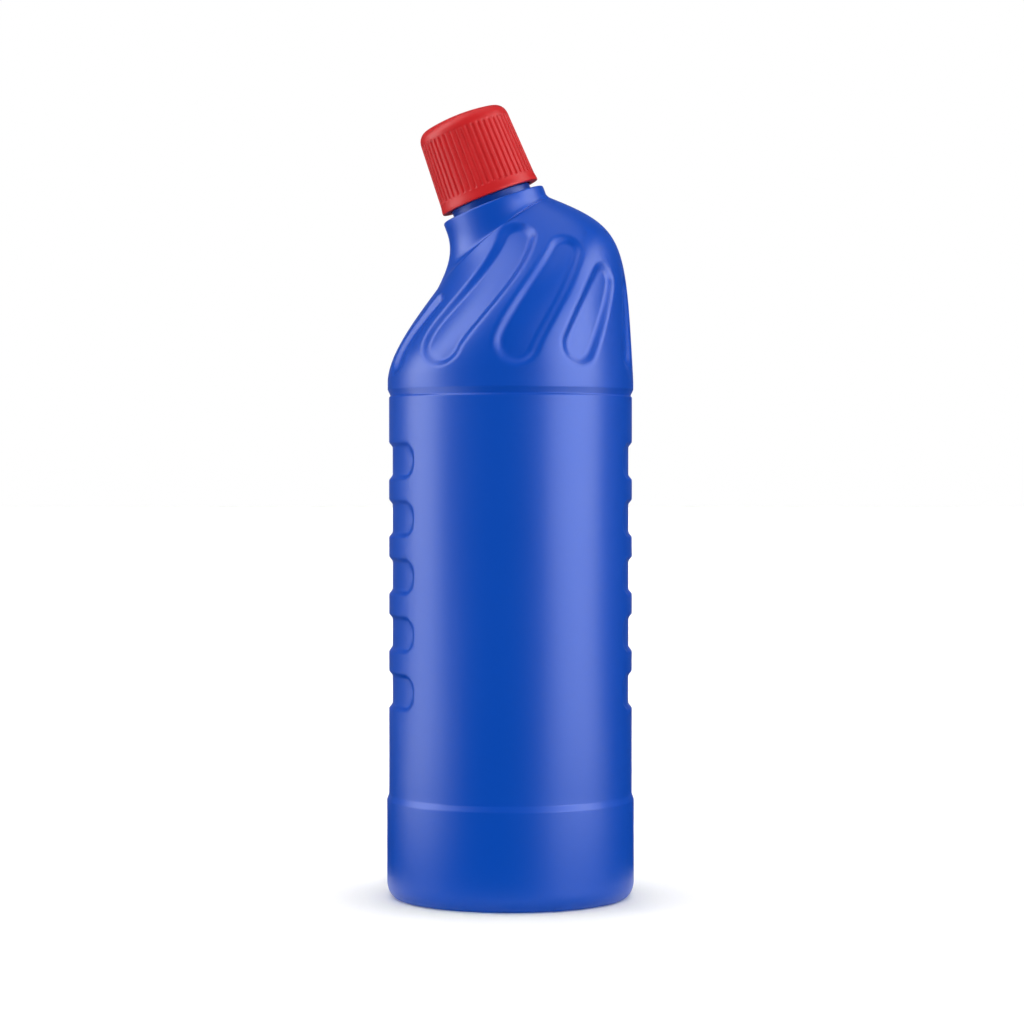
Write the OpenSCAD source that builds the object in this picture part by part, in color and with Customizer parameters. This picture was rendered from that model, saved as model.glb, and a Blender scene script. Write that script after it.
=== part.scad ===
// Bottle with a leaning neck, a screw cap and its sealing disc, in millimetres.
// The bottle stands on the XY plane round the Z axis, and the neck leans towards -X.

/* [Body] */
// Diameter of the plain body
body_d = 81; // [60:0.5:110]
// Height at which the shoulder starts
body_h = 172; // [150:1:240]
// Thickness of the blown wall
wall = 1.2; // [0.8:0.1:2]
// Height of the base band
band_h = 33.4; // [20:0.2:50]
// How far the base band stands out from the body
band_step = 0.7; // [0.3:0.1:2]
// Height of the slope between the base band and the body
band_slope_h = 3.8; // [1:0.1:8]
// Radius of the heel
heel_r = 6.5; // [3:0.5:10]
// Radius of the hollow under the base
push_up_r = 28; // [15:0.5:30]
// Height of the hollow under the base
push_up_h = 4; // [2:0.5:8]

/* [Crease] */
// Height of the crease below the start of the shoulder
crease_drop = 4.4; // [3.5:0.1:8]
// Height of the crease
crease_h = 2.8; // [1.5:0.1:4]
// Depth of the crease below the body
crease_depth = 0.8; // [0.3:0.1:1.5]
// How far the lip above the crease stands out from the body
lip_step = 0.45; // [0.2:0.05:1.5]

/* [Grip recesses] */
// Number of recesses in a row
grip_count = 5; // [1:1:6]
// Distance between recesses
grip_pitch = 19; // [15:0.5:22]
// Height of the middle of the row
grip_mid_z = 107.2; // [95:0.2:125]
// Height of a recess at half its depth
grip_h = 10.9; // [6:0.1:13]
// Depth of a recess
grip_depth = 1.2; // [0.5:0.1:2]
// Half the angle of a recess below the neck's lean
grip_half_neck_side = 36; // [15:0.5:60]
// Half the angle of a recess on the far side
grip_half_back_side = 25.5; // [15:0.5:60]

/* [Shoulder] */
// Height of the point where the neck's axis meets the body's axis, above the start of the shoulder
shoulder_rise = 43.5; // [38:0.5:52]
// Half depth of the dome where the neck grows out of it
foot_half_depth = 18.3; // [18:0.1:22]
// How far the front and the back of the neck's foot stand above the line between its ends
foot_rise = 2.2; // [0:0.1:3]
// Width of the widest oval recess in the dome at its lower end
petal_w = 18; // [12:0.5:18.5]
// Width of the slope round an oval recess
petal_slope_w = 2.4; // [1.5:0.1:3.5]
// Depth of an oval recess
petal_depth = 1; // [0.3:0.1:1.5]

/* [Neck] */
// Lean of the neck from upright
neck_tilt = 21; // [10:0.5:26]
// Distance along the neck's axis from the body's axis to the ledge
ledge_s = 16.3; // [15:0.1:20]
// Diameter of the ledge
ledge_d = 35.4; // [34:0.1:38]
// Height of the straight collar under the ledge
collar_h = 3; // [2:0.1:3.5]
// Rounding of the ledge's edge
ledge_round = 0.8; // [0.3:0.1:1.2]
// Height of the finish from the ledge to the rim
finish_h = 27.1; // [20:0.1:32]
// Diameter of the finish at the root of its thread
finish_d = 25; // [23:0.1:26]
// Diameter of the bead at the foot of the finish
bead_d = 27.3; // [26.2:0.1:27.6]
// Height of the bead
bead_h = 3.4; // [2:0.1:5]
// Diameter of the bore
bore_d = 21.8; // [18:0.1:22.4]

/* [Cap] */
// Gap between the ledge and the skirt of the cap
cap_gap = 2.4; // [1:0.1:3]
// Diameter of the cap's lower edge
cap_d = 33.7; // [32.5:0.1:36]
// How far the flared lower edge stands out from the wall above it
cap_flare = 0.3; // [0.1:0.05:0.8]
// Height of the flared lower edge
cap_flare_h = 2.7; // [1.5:0.1:4]
// Inward lean of the cap's wall
cap_taper = 2.9; // [1:0.1:3.4]
// Radius of the cap's upper corner
cap_corner_r = 4; // [2:0.1:4.5]
// Radius of the cap's crown
cap_crown_r = 60; // [40:1:120]
// Thickness of the cap's top at its middle
cap_top = 3.05; // [2.5:0.05:4.5]
// Clearance between the cap's inner wall and the bead
cap_clearance = 0.4; // [0.3:0.05:0.6]
// How much narrower the cap's inside is at the top than at the skirt, in radius
cap_draft = 0.45; // [0.2:0.05:0.6]
// Number of grooves round the cap
groove_count = 48; // [24:1:60]
// Radius of a groove
groove_r = 0.55; // [0.3:0.05:0.6]
// Depth of a groove
groove_depth = 0.45; // [0.2:0.05:0.5]
// Height at which the grooves start above the cap's lower edge
groove_foot = 3.5; // [3:0.1:6]

/* [Liner] */
// Thickness of the sealing disc
liner_h = 1.5; // [1:0.1:2.5]
// Clearance between the sealing disc and the cap's wall
liner_clearance = 0.3; // [0.2:0.05:0.5]
// Clearance above and below the sealing disc
liner_seat = 0.05; // [0.02:0.01:0.1]

/* [Hidden] */
$fn = 96;
over = 1;

body_r = body_d / 2;
band_r = body_r + band_step;
lip_r = body_r + lip_step;
neck_root = [0, 0, body_h + shoulder_rise];
ledge_r = ledge_d / 2;
bore_r = bore_d / 2;
finish_r = finish_d / 2;
bead_r = bead_d / 2;

cap_s = ledge_s + cap_gap;
cap_r = cap_d / 2;
cap_inside_r = bead_r + cap_clearance;
liner_s = ledge_s + finish_h + liner_seat;
cap_inside_h = liner_s + liner_h + liner_seat - cap_s;
cap_h = cap_inside_h + cap_top;
liner_r = cap_inside_r - cap_draft - liner_clearance;

// The lofted shoulder enters the walls of the turned parts: its play there, and the size of the tongue
seam = 0.05;
plug = 0.3;
plug_h = 1.5;
plug_step = 0.4;
skin = wall - 2 * seam;

// Points round a ring, and rings over the dome and the neck
ring_n = 104;
dome_n = 26;
neck_n = 6;
inner_dome_n = 15;
inner_neck_n = 4;

// A point of the XZ plane given by its distance along and across the neck's axis
function neck_plane(s, r) =
    [r * cos(neck_tilt) - s * sin(neck_tilt), neck_root.z + s * cos(neck_tilt) + r * sin(neck_tilt)];

function bezier(p, t) =
    pow(1 - t, 3) * p[0] + 3 * t * pow(1 - t, 2) * p[1] + 3 * t * t * (1 - t) * p[2] + pow(t, 3) * p[3];

// The dome's and the neck's outlines in the XZ plane, left and right, their half depths and the rise of their rings
dome_r = lip_r - seam;
foot_left = neck_plane(-3.6, -27.6);
foot_right = neck_plane(11.7, 18.4);
tube_r = ledge_r - seam;
tube_top = ledge_s - collar_h;
tube_left = neck_plane(tube_top, -tube_r);
tube_right = neck_plane(tube_top, tube_r);
dome_left = [[-dome_r, body_h], [0.5 - dome_r, body_h + 7.9], foot_left - [9.6, 12.6], foot_left];
dome_right = [[dome_r, body_h], [dome_r - 2.7, body_h + 47.6], foot_right + [25.5, -10.1], foot_right];
dome_depth = [dome_r, dome_r + 1, foot_half_depth + 12.7, foot_half_depth];
dome_rise = [0, 0, 0, foot_rise];
tube_lean = [sin(neck_tilt), -cos(neck_tilt)];
neck_left = [foot_left, foot_left + [3.6, 7.1], tube_left + 7 * tube_lean, tube_left];
neck_right = [foot_right, foot_right + [-0.6, 0.5], tube_right + 0.6 * tube_lean, tube_right];
neck_depth = [foot_half_depth, foot_half_depth - 0.7, tube_r - 0.1, tube_r];
neck_rise = [foot_rise, 0.7 * foot_rise, 0, 0];

function unit(v) = v / norm(v);
foot_up = unit([foot_left.y - foot_right.y, foot_right.x - foot_left.x]);

// A point of a lofted ring: a is 0 at the left end and 90 at the front
function loft(left, right, depth, rise, t, a) =
    let (l = bezier(left, t), r = bezier(right, t), b = bezier(depth, t))
    let (c = (l + r) / 2 + bezier(rise, t) * pow(sin(a), 2) * foot_up, h = (r - l) / 2)
    [c.x - h.x * cos(a), -b * sin(a), c.y - h.y * cos(a)];
function dome_at(t, a) = loft(dome_left, dome_right, dome_depth, dome_rise, t, a);
function neck_at(t, a) = loft(neck_left, neck_right, neck_depth, neck_rise, t, a);

small = 0.01;
function dome_normal(t, a) =
    unit(cross(dome_at(t, a + 1) - dome_at(t, a - 1), dome_at(t + small, a) - dome_at(t - small, a)));
function neck_normal(t, a) =
    unit(cross(neck_at(t, a + 1) - neck_at(t, a - 1), neck_at(t + small, a) - neck_at(t - small, a)));

// Oval recesses of the front: angle and height on the dome at the lower end, then at the upper end,
// the bend between, and the widths at both ends as shares of the widest
petals = [
    [19.5, 0.235, 51, 0.9, 2, 0.61, 0.42],
    [54, 0.236, 100, 0.837, 1.5, 1, 0.69],
    [90.6, 0.133, 122.4, 0.611, 1.25, 0.86, 0.69],
    [122.7, 0.09, 142, 0.345, 1, 0.81, 0.6],
    [161, 0.075, 168, 0.28, 1, 0.67, 0.5],
];
petal_steps = 8;
function petal_spine(p) = [
    for (i = [0 : petal_steps])
        let (k = i / petal_steps)
        dome_at(p[1] + (p[3] - p[1]) * k, p[0] + (p[2] - p[0]) * pow(k, p[4]))
];
petal_spines = [for (p = petals) petal_spine(p)];
function ease(k) = let (c = max(0, min(1, k))) c * c * (3 - 2 * c);
// How far a point lies inside the border of a recess, seen from one step of its spine
function inside_step(q, petal, spine, i) =
    let (a = spine[i], ab = spine[i + 1] - a, k = max(0, min(1, (q - a) * ab / (ab * ab))))
    let (share = petal[5] + (petal[6] - petal[5]) * pow((i + k) / petal_steps, 2))
    share * petal_w / 2 - norm(q - a - k * ab);
function inside_petal(q, petal, spine) = max([for (i = [0 : petal_steps - 1]) inside_step(q, petal, spine, i)]);
// Depth of the recesses below a point of the dome, the same in front and behind
function petal_at(p) =
    let (q = [p.x, -abs(p.y), p.z])
    petal_depth * ease(max([for (i = [0 : len(petals) - 1]) inside_petal(q, petals[i], petal_spines[i])]) / petal_slope_w);

function round_ring(r, z) = [for (i = [0 : ring_n - 1]) let (a = 360 * i / ring_n) [-r * cos(a), -r * sin(a), z]];
function neck_ring(r, s) = [
    for (i = [0 : ring_n - 1])
        let (a = 360 * i / ring_n, q = neck_plane(s, -r * cos(a)))
        [q.x, -r * sin(a), q.y]
];
function dome_ring(t, inset) = [
    for (i = [0 : ring_n - 1])
        let (a = 360 * i / ring_n, p = dome_at(t, a))
        p - dome_normal(t, a) * (inset + petal_at(p))
];
function tube_ring(t, inset) = [
    for (i = [0 : ring_n - 1])
        let (a = 360 * i / ring_n)
        neck_at(t, a) - neck_normal(t, a) * inset
];
// The inner skin's ring below the crease between the dome and the neck
function crease_ring(inset) = [
    for (i = [0 : ring_n - 1])
        let (a = 360 * i / ring_n)
        dome_at(1, a) - unit(dome_normal(1, a) + neck_normal(0, a)) * inset
];

// Rings of the outer skin going up and of the inner skin going down, one closed band in all
function dome_step(k) = pow(k, 1.3);
shoulder_rings = concat(
    [round_ring(dome_r - plug, body_h - plug_h), round_ring(dome_r, body_h - plug_step)],
    [for (i = [1 : dome_n]) dome_ring(dome_step(i / dome_n), 0)],
    [for (i = [1 : neck_n - 1]) tube_ring(i / neck_n, 0)],
    [neck_ring(tube_r, tube_top + plug_step), neck_ring(tube_r - plug, tube_top + plug_h)],
    [neck_ring(tube_r - skin + plug, tube_top + plug_h), neck_ring(tube_r - skin, tube_top + plug_step)],
    [for (i = [inner_neck_n - 1 : -1 : 1]) tube_ring(i / inner_neck_n, skin)],
    [crease_ring(skin)],
    [for (i = [inner_dome_n - 1 : -1 : 1]) dome_ring(dome_step(i / inner_dome_n), skin)],
    [round_ring(dome_r - skin, body_h - plug_step), round_ring(dome_r - skin + plug, body_h - plug_h)]
);

module shoulder() {
    ring_count = len(shoulder_rings);
    points = [for (ring = shoulder_rings) each ring];
    faces = [
        for (j = [0 : ring_count - 1], i = [0 : ring_n - 1])
            let (k = (j + 1) % ring_count, n = (i + 1) % ring_n)
            let (a = j * ring_n + i, b = j * ring_n + n, c = k * ring_n + n, d = k * ring_n + i)
            each [[a, c, b], [a, d, c]]
    ];
    polyhedron(points, faces);
}

// Half section of the body, moved inwards by inset
module body_section(inset) {
    crease_z = body_h - crease_drop;
    base_r = band_r - heel_r;
    difference() {
        union() {
            polygon([
                [0, heel_r],
                [band_r - inset, heel_r],
                [band_r - inset, band_h - band_slope_h / 2],
                [body_r - inset, band_h + band_slope_h / 2],
                [body_r - inset, crease_z - crease_h / 2],
                [body_r - crease_depth - inset, crease_z - crease_h / 8],
                [body_r - crease_depth - inset, crease_z + crease_h / 8],
                [lip_r - inset, crease_z + crease_h / 2],
                [lip_r - inset, body_h + sign(inset) * over],
                [0, body_h + sign(inset) * over],
            ]);
            translate([0, inset]) square([base_r, heel_r]);
            intersection() {
                translate([base_r, heel_r]) circle(heel_r - inset);
                square([band_r, heel_r + over]);
            }
        }
        push_up_sphere = (push_up_r * push_up_r + push_up_h * push_up_h) / (2 * push_up_h);
        translate([0, push_up_h - push_up_sphere]) circle(push_up_sphere + inset);
        translate([-band_r, 0]) square([band_r, body_h + 2 * over]);
    }
}

// One grip recess round the -X side, as the space outside its floor
module grip(half_angle, inset) {
    floor_r = body_r - grip_depth - inset;
    reach = grip_depth + inset + over;
    half_h = grip_h / 2 - grip_depth / 2 + inset;
    end_angle = half_angle - asin(grip_h / 2 / body_r);
    rotate([0, 0, 180 - end_angle]) rotate_extrude(angle = 2 * end_angle)
        polygon([
            [floor_r, -half_h],
            [floor_r + reach, -half_h - reach],
            [floor_r + reach, half_h + reach],
            [floor_r, half_h],
        ]);
    for (side = [-1, 1])
        rotate([0, 0, 180 + side * end_angle]) rotate([0, 90, 0]) translate([0, 0, floor_r])
            cylinder(h = reach, r1 = half_h, r2 = half_h + reach);
}

module grips(inset) {
    for (i = [0 : grip_count - 1]) translate([0, 0, grip_mid_z + (i - (grip_count - 1) / 2) * grip_pitch]) {
        grip(grip_half_neck_side, inset);
        rotate([0, 0, 180]) grip(grip_half_back_side, inset);
    }
}

module body_shell() {
    difference() {
        // The seams of the turned skins lie between the two rows of recesses
        rotate([0, 0, 90]) rotate_extrude() body_section(0);
        grips(0);
        difference() {
            rotate([0, 0, 90]) rotate_extrude() body_section(wall);
            grips(wall);
        }
    }
}

module on_neck(s) {
    translate(neck_root) rotate([0, -neck_tilt, 0]) translate([0, 0, s]) children();
}

// Half section of the collar, the ledge and the finish, measured from the ledge
module finish_section() {
    difference() {
        union() {
            translate([0, -collar_h]) square([ledge_r, collar_h - ledge_round]);
            translate([0, -collar_h]) square([ledge_r - ledge_round, collar_h]);
            translate([ledge_r - ledge_round, -ledge_round]) circle(ledge_round);
            square([finish_r, finish_h]);
            polygon([[0, 0], [bead_r, 0], [bead_r, bead_h - bead_r + finish_r], [finish_r, bead_h], [0, bead_h]]);
        }
        translate([0, -collar_h - over]) square([bore_r, finish_h + collar_h + 2 * over]);
        polygon([
            [0, -collar_h - over],
            [ledge_r - wall, -collar_h - over],
            [ledge_r - wall, -collar_h],
            [bore_r, -wall / 2],
            [0, -wall / 2],
        ]);
    }
}

module bottle() {
    color("#0a4ab4") union() {
        body_shell();
        shoulder();
        on_neck(ledge_s) rotate_extrude() finish_section();
    }
}

// Half section of the cap without its grooves, measured from its lower edge
module cap_section() {
    wall_r = cap_r - cap_flare;
    crown_z = cap_h - cap_crown_r;
    // The corner's middle lies on the wall's slope and inside the crown
    corner_x = wall_r - cap_corner_r - (cap_h - cap_corner_r - cap_flare_h) * tan(cap_taper);
    corner_z = crown_z + sqrt(pow(cap_crown_r - cap_corner_r, 2) - corner_x * corner_x);
    crown_k = cap_crown_r / (cap_crown_r - cap_corner_r);
    difference() {
        union() {
            polygon([
                [0, 0],
                [cap_r, 0],
                [cap_r, cap_flare_h / 3],
                [wall_r, cap_flare_h],
                [corner_x + cap_corner_r * cos(cap_taper), corner_z + cap_corner_r * sin(cap_taper)],
                [corner_x, corner_z],
                [0, corner_z],
            ]);
            translate([corner_x, corner_z]) circle(cap_corner_r);
            intersection() {
                translate([0, crown_z]) circle(cap_crown_r);
                square([corner_x * crown_k, cap_h]);
            }
        }
        polygon([
            [0, -over],
            [cap_inside_r, -over],
            [cap_inside_r, 0],
            [cap_inside_r - cap_draft, cap_inside_h],
            [0, cap_inside_h],
        ]);
    }
}

module cap_grooves() {
    for (i = [0 : groove_count - 1]) rotate([0, 0, 360 * i / groove_count])
        translate([cap_r - cap_flare + groove_r - groove_depth, 0, cap_flare_h]) rotate([0, -cap_taper, 0])
            translate([0, 0, groove_foot - cap_flare_h]) cylinder(h = cap_h, r = groove_r, $fn = 24);
}

module cap() {
    color("#c8202a") on_neck(cap_s) difference() {
        rotate_extrude() cap_section();
        cap_grooves();
    }
}

module cap_liner() {
    color("#f2f2ee") on_neck(liner_s) cylinder(h = liner_h, r = liner_r);
}

bottle();
cap();
cap_liner();
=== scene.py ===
import math

import bpy
import numpy as np
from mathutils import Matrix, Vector


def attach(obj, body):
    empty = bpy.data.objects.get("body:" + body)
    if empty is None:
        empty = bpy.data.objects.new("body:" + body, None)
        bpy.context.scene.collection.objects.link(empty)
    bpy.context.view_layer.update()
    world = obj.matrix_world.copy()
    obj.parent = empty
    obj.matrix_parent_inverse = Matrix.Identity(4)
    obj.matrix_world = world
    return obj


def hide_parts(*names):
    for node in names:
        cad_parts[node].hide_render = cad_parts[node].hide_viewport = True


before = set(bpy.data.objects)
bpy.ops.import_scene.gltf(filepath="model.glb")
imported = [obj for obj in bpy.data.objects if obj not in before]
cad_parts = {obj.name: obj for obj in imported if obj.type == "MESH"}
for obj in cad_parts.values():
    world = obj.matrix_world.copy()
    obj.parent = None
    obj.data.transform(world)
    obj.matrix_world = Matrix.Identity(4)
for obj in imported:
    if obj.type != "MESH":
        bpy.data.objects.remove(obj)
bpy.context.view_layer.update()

unit = 0.001  # sizes below are in millimetres, meshes in metres


# Node maths

class Wire:
    # one socket, so that node maths reads as an expression

    def __init__(self, tree, socket=None):
        self.tree = tree
        self.socket = socket

    def make(self, kind, settings=None, sockets=None, out=0):
        node = self.tree.nodes.new(kind)
        for name, value in (settings or {}).items():
            setattr(node, name, value)
        for name, value in (sockets or {}).items():
            plugIn(self.tree, node.inputs[name], value)
        return Wire(self.tree, node.outputs[out])

    def maths(self, operation, first, second=0.0):
        return self.make("ShaderNodeMath", {"operation": operation}, {0: first, 1: second})

    def __add__(self, other):
        return self.maths("ADD", self, other)

    def __radd__(self, other):
        return self.maths("ADD", other, self)

    def __sub__(self, other):
        return self.maths("SUBTRACT", self, other)

    def __rsub__(self, other):
        return self.maths("SUBTRACT", other, self)

    def __mul__(self, other):
        return self.maths("MULTIPLY", self, other)

    def __rmul__(self, other):
        return self.maths("MULTIPLY", other, self)

    def __truediv__(self, other):
        return self.maths("DIVIDE", self, other)

    def __abs__(self):
        return self.maths("ABSOLUTE", self)

    def upTo(self, other):
        return self.maths("MINIMUM", self, other)

    def atLeast(self, other):
        return self.maths("MAXIMUM", self, other)

    def clamped(self):
        return self.atLeast(0.0).upTo(1.0)


def plugIn(tree, socket, value):
    if isinstance(value, Wire):
        tree.links.new(value.socket, socket)
    else:
        socket.default_value = value


def noise(wire, place, featureSize, detail=2.0):
    sockets = {"Vector": place, "Scale": 1 / (featureSize * unit), "Detail": detail}
    return wire.make("ShaderNodeTexNoise", None, sockets, "Fac")


def mixColour(wire, share, first, second):
    sockets = {0: share, 6: (*first, 1), 7: (*second, 1)}
    return wire.make("ShaderNodeMix", {"data_type": "RGBA"}, sockets, 2)


def startMaterial(name):
    material = bpy.data.materials.new(name)
    material.use_nodes = True
    return material, material.node_tree.nodes["Principled BSDF"], Wire(material.node_tree)


# Materials

bluePlasticLook = {
    "deep": (0.0010, 0.061, 0.437),
    "fresh": (0.0014, 0.069, 0.475),
    "cloudSize": 45,
    "mottleSize": 2.5,
    "cloudShare": 0.7,
    "roughness": 0.31,
    "cloudRoughness": 0.07,
    "mottleRoughness": 0.03,
    "specular": 0.5,
    "ior": 1.5,
    "grainSize": 0.35,
    "grainHeight": 0.012,
    "partingWidth": 0.22,
    "partingHeight": 1.6,  # in grain heights
}
redPlasticLook = {
    "deep": (0.52, 0.0125, 0.0155),
    "fresh": (0.58, 0.0185, 0.0215),
    "cloudSize": 18,
    "mottleSize": 1.5,
    "cloudShare": 0.65,
    "roughness": 0.36,
    "cloudRoughness": 0.06,
    "mottleRoughness": 0.03,
    "specular": 0.32,
    "ior": 1.49,
    "grainSize": 0.3,
    "grainHeight": 0.01,
}
# light and shade are the foam's two tones: the shade is painted shade in the hollows between its cells, and
# a cloud also mixes the two at random
foamLook = {
    "shade": (0.70, 0.69, 0.65),
    "light": (0.86, 0.85, 0.82),
    "cloudSize": 6,
    "cloudShare": 0.5,
    "cellSize": 0.35,
    "cellShare": 0.6,
    "cellHeight": 0.06,
    "bumpStrength": 0.8,
    "roughness": 0.75,
    "cellRoughness": 0.15,
}


def dressShader(start, shader, colour, roughness, height, distance, strength=1.0):
    sockets = {"Height": height, "Strength": strength, "Distance": distance * unit}
    bump = start.make("ShaderNodeBump", None, sockets)
    plugIn(start.tree, shader.inputs["Base Color"], colour)
    plugIn(start.tree, shader.inputs["Roughness"], roughness)
    plugIn(start.tree, shader.inputs["Normal"], bump)


def mouldedPlastic(name, look):
    material, shader, start = startMaterial(name)
    place = start.make("ShaderNodeTexCoord", out="Object")
    cloud = noise(start, place, look["cloudSize"], detail=3)
    mottle = noise(start, place, look["mottleSize"])
    height = noise(start, place, look["grainSize"])
    share = (look["cloudShare"] * cloud + (1 - look["cloudShare"]) * mottle).clamped()
    colour = mixColour(start, share, look["deep"], look["fresh"])
    roughness = look["roughness"] + look["cloudRoughness"] * cloud + look["mottleRoughness"] * mottle
    if "partingWidth" in look:
        # the line where the mould's halves met runs up both sides
        across = abs(start.make("ShaderNodeSeparateXYZ", None, {"Vector": place}, "Y"))
        parting = (1 - across / (look["partingWidth"] * unit)).clamped()
        height = height + look["partingHeight"] * parting
    dressShader(start, shader, colour, roughness, height, look["grainHeight"])
    shader.inputs["Specular IOR Level"].default_value = look["specular"]
    shader.inputs["IOR"].default_value = look["ior"]
    return material


def foam(name, look):
    material, shader, start = startMaterial(name)
    place = start.make("ShaderNodeTexCoord", out="Object")
    sockets = {"Vector": place, "Scale": 1 / (look["cellSize"] * unit)}
    cells = start.make("ShaderNodeTexVoronoi", None, sockets, "Distance")
    cloud = noise(start, place, look["cloudSize"])
    # painted shade: the hollows between the cells, which the bump lowers, are coloured darker; the cloud
    # adds a tone that differs at random
    share = (look["cloudShare"] * cloud + look["cellShare"] * cells).clamped()
    colour = mixColour(start, share, look["light"], look["shade"])
    roughness = look["roughness"] + look["cellRoughness"] * cells
    dressShader(start, shader, colour, roughness, 1 - cells, look["cellHeight"], look["bumpStrength"])
    return material


bluePlasticMaterial = mouldedPlastic("blue_hdpe", bluePlasticLook)
redPlasticMaterial = mouldedPlastic("red_pp", redPlasticLook)
foamMaterial = foam("foam_liner", foamLook)
print("materials made")


# Shapes

def ease(share):
    share = np.clip(share, 0, 1)
    return share * share * (3 - 2 * share)


def bevel(share, soft=0.18):
    # a straight slope from 0 to 1 with softened ends
    share = np.clip(share, -soft, 1 + soft)
    low = (share + soft) ** 2 / (4 * soft)
    high = 1 - (1 - share + soft) ** 2 / (4 * soft)
    return np.where(share < soft, low, np.where(share > 1 - soft, high, share))


def spaced(low, high, count, places, width, boost):
    # places from low to high that lie closer together near some of them
    fine = np.linspace(low, high, 4000)
    density = 1 + boost * sum(np.exp(-((fine - place) / width) ** 2) for place in places)
    total = np.concatenate([[0], np.cumsum(density[1:] + density[:-1])])
    return np.interp(np.linspace(0, total[-1], count), total, fine)


def bezier(points, share):
    points = np.array(points, float)
    share = np.asarray(share, float)
    if points.ndim > 1:
        share = share[:, None]
    rest = 1 - share
    return (rest ** 3 * points[0] + 3 * share * rest ** 2 * points[1]
            + 3 * share ** 2 * rest * points[2] + share ** 3 * points[3])


def roundedLine(corners, steps=5):
    # a line through (x, z, radius) corners, with the inner ones rounded
    points = [np.array(corners[0][:2], float)]
    for before, here, after in zip(corners, corners[1:], corners[2:]):
        middle = np.array(here[:2], float)
        back = np.array(before[:2]) - middle
        ahead = np.array(after[:2]) - middle
        back = back / np.linalg.norm(back)
        ahead = ahead / np.linalg.norm(ahead)
        turn = math.pi - math.acos(np.clip(back @ ahead, -1, 1))
        reach = here[2] * math.tan(turn / 2)
        start = middle + back * reach
        end = middle + ahead * reach
        for share in np.linspace(0, 1, steps):
            points.append((1 - share) ** 2 * start + 2 * share * (1 - share) * middle + share ** 2 * end)
    points.append(np.array(corners[-1][:2], float))
    return np.array(points)


def arc(middle, radius, start, end, count):
    angle = np.radians(np.linspace(start, end, count))
    return np.stack([middle[0] + radius * np.cos(angle), middle[1] + radius * np.sin(angle)], 1)


def bridge(faces, below, belowCount, above, aboveCount):
    # faces between two rings, or between a ring and a pole, or a ring and one with a quarter of its points
    if belowCount == 1:
        faces += [(below, above + (i + 1) % aboveCount, above + i) for i in range(aboveCount)]
    elif aboveCount == 1:
        faces += [(below + i, below + (i + 1) % belowCount, above) for i in range(belowCount)]
    elif belowCount == aboveCount:
        for i in range(belowCount):
            j = (i + 1) % belowCount
            faces.append((below + i, below + j, above + j, above + i))
    else:
        ratio = belowCount // aboveCount
        for i in range(aboveCount):
            here = above + i
            there = above + (i + 1) % aboveCount
            for k in range(ratio):
                first = below + (i * ratio + k) % belowCount
                second = below + (i * ratio + k + 1) % belowCount
                faces.append((first, second, here if k < ratio / 2 else there))
                if k == ratio // 2 - 1:
                    faces.append((second, there, here))


def skinMesh(name, rings, material):
    # a closed skin from rings of points, each going round against the clock seen from above
    points = np.concatenate(rings) * unit
    faces = []
    start = 0
    for ring, following in zip(rings, rings[1:]):
        bridge(faces, start, len(ring), start + len(ring), len(following))
        start += len(ring)
    mesh = bpy.data.meshes.new(name)
    mesh.from_pydata(points.tolist(), [], faces)
    return finishMesh(name, mesh, material)


def finishMesh(name, mesh, material):
    mesh.materials.clear()
    mesh.materials.append(material)
    mesh.polygons.foreach_set("use_smooth", [True] * len(mesh.polygons))
    mesh.update()
    piece = bpy.data.objects.new(name, mesh)
    bpy.context.scene.collection.objects.link(piece)
    return piece


def gridFaces(rows, columns):
    # faces between rows of points, open at both sides
    faces = []
    for i in range(rows - 1):
        for j in range(columns - 1):
            low = i * columns + j
            faces.append((low, low + 1, low + columns + 1, low + columns))
    return faces


def turned(profile, angles):
    # rings about the Z axis from (radius, height) points, with a pole where the radius is 0
    rings = []
    for radius, height in profile:
        if radius < 1e-6:
            rings.append(np.array([[0.0, 0.0, height]]))
        else:
            ring = [-radius * np.cos(angles), -radius * np.sin(angles), np.full(len(angles), height)]
            rings.append(np.stack(ring, 1))
    return rings


# Neck frame: s runs up the leaning axis and r across it in the XZ plane

neck = {
    "tilt": 21,
    "rootHeight": 215.5,
    "ledgeHeight": 16.3,
    "ledgeRadius": 17.7,
    "ledgeRound": 0.8,
    "collarHeight": 3,
    "finishHeight": 27.1,
    "finishRadius": 12.5,
    "beadRadius": 13.65,
    "beadHeight": 3.4,
    "beadRound": 0.4,
    "rimRound": 0.5,
    "boreRadius": 10.9,
    "boreRound": 0.4,
}
tilt = math.radians(neck["tilt"])
neckMatrix = np.array([
    [math.cos(tilt), 0, -math.sin(tilt)],
    [0, 1, 0],
    [math.sin(tilt), 0, math.cos(tilt)],
])
neckRoot = np.array([0, 0, neck["rootHeight"]])


def onNeck(points):
    return np.asarray(points) @ neckMatrix.T + neckRoot


def neckPlane(s, r):
    return np.array([r * math.cos(tilt) - s * math.sin(tilt),
                     neck["rootHeight"] + s * math.cos(tilt) + r * math.sin(tilt)])


# Bottle

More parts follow.
